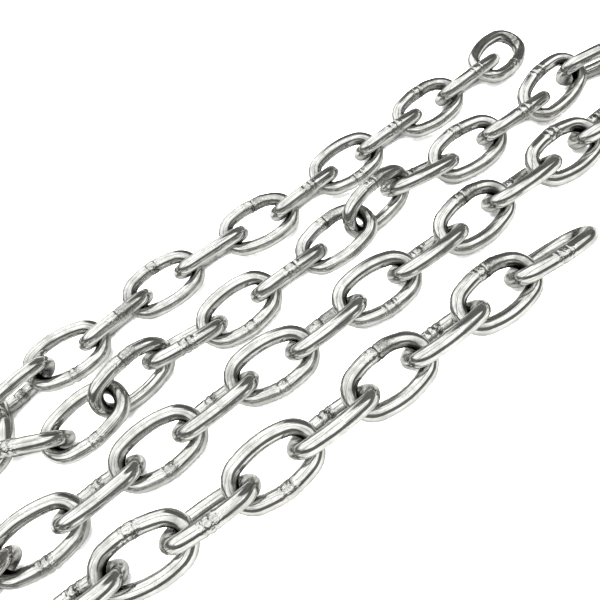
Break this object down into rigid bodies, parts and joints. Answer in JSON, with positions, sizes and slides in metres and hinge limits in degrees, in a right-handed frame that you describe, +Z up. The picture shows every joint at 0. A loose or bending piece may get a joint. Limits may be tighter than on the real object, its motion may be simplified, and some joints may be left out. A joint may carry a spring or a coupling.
{
  "type": "heap of steel chain",
  "caption": "Length of short-link welded steel chain, laid back and forth in parallel runs on a level floor, each run joined to the next by a tight bend.",
  "frame": {"origin": "centre of the bounding box, on the floor that the chain lies on", "axes": "+X along the runs of the chain, +Y across the runs, from the fourth run to the first, +Z up"},
  "size_m": [0.351, 0.1194, 0.0223],
  "materials": {
    "polished_stainless": "polished stainless steel, worn by handling"
  },
  "bodies": {
    "root": {"link_01": "polished_stainless", "link_02": "polished_stainless", "link_03": "polished_stainless", "link_04": "polished_stainless", "link_05": "polished_stainless", "link_06": "polished_stainless", "link_07": "polished_stainless", "link_08": "polished_stainless", "link_09": "polished_stainless", "link_10": "polished_stainless", "link_11": "polished_stainless", "link_12": "polished_stainless", "link_13": "polished_stainless", "link_14": "polished_stainless", "link_15": "polished_stainless", "link_16": "polished_stainless", "link_17": "polished_stainless", "link_18": "polished_stainless", "link_19": "polished_stainless", "link_20": "polished_stainless", "link_21": "polished_stainless", "link_22": "polished_stainless", "link_23": "polished_stainless", "link_24": "polished_stainless", "link_25": "polished_stainless", "link_26": "polished_stainless", "link_27": "polished_stainless", "link_28": "polished_stainless", "link_29": "polished_stainless", "link_30": "polished_stainless", "link_31": "polished_stainless", "link_32": "polished_stainless", "link_33": "polished_stainless", "link_34": "polished_stainless", "link_35": "polished_stainless", "link_36": "polished_stainless", "link_37": "polished_stainless", "link_38": "polished_stainless", "link_39": "polished_stainless", "link_40": "polished_stainless", "link_41": "polished_stainless", "link_42": "polished_stainless", "link_43": "polished_stainless", "link_44": "polished_stainless", "link_45": "polished_stainless", "link_46": "polished_stainless", "link_47": "polished_stainless", "link_48": "polished_stainless", "link_49": "polished_stainless", "link_50": "polished_stainless", "link_51": "polished_stainless", "link_52": "polished_stainless"}
  },
  "joints": []
}
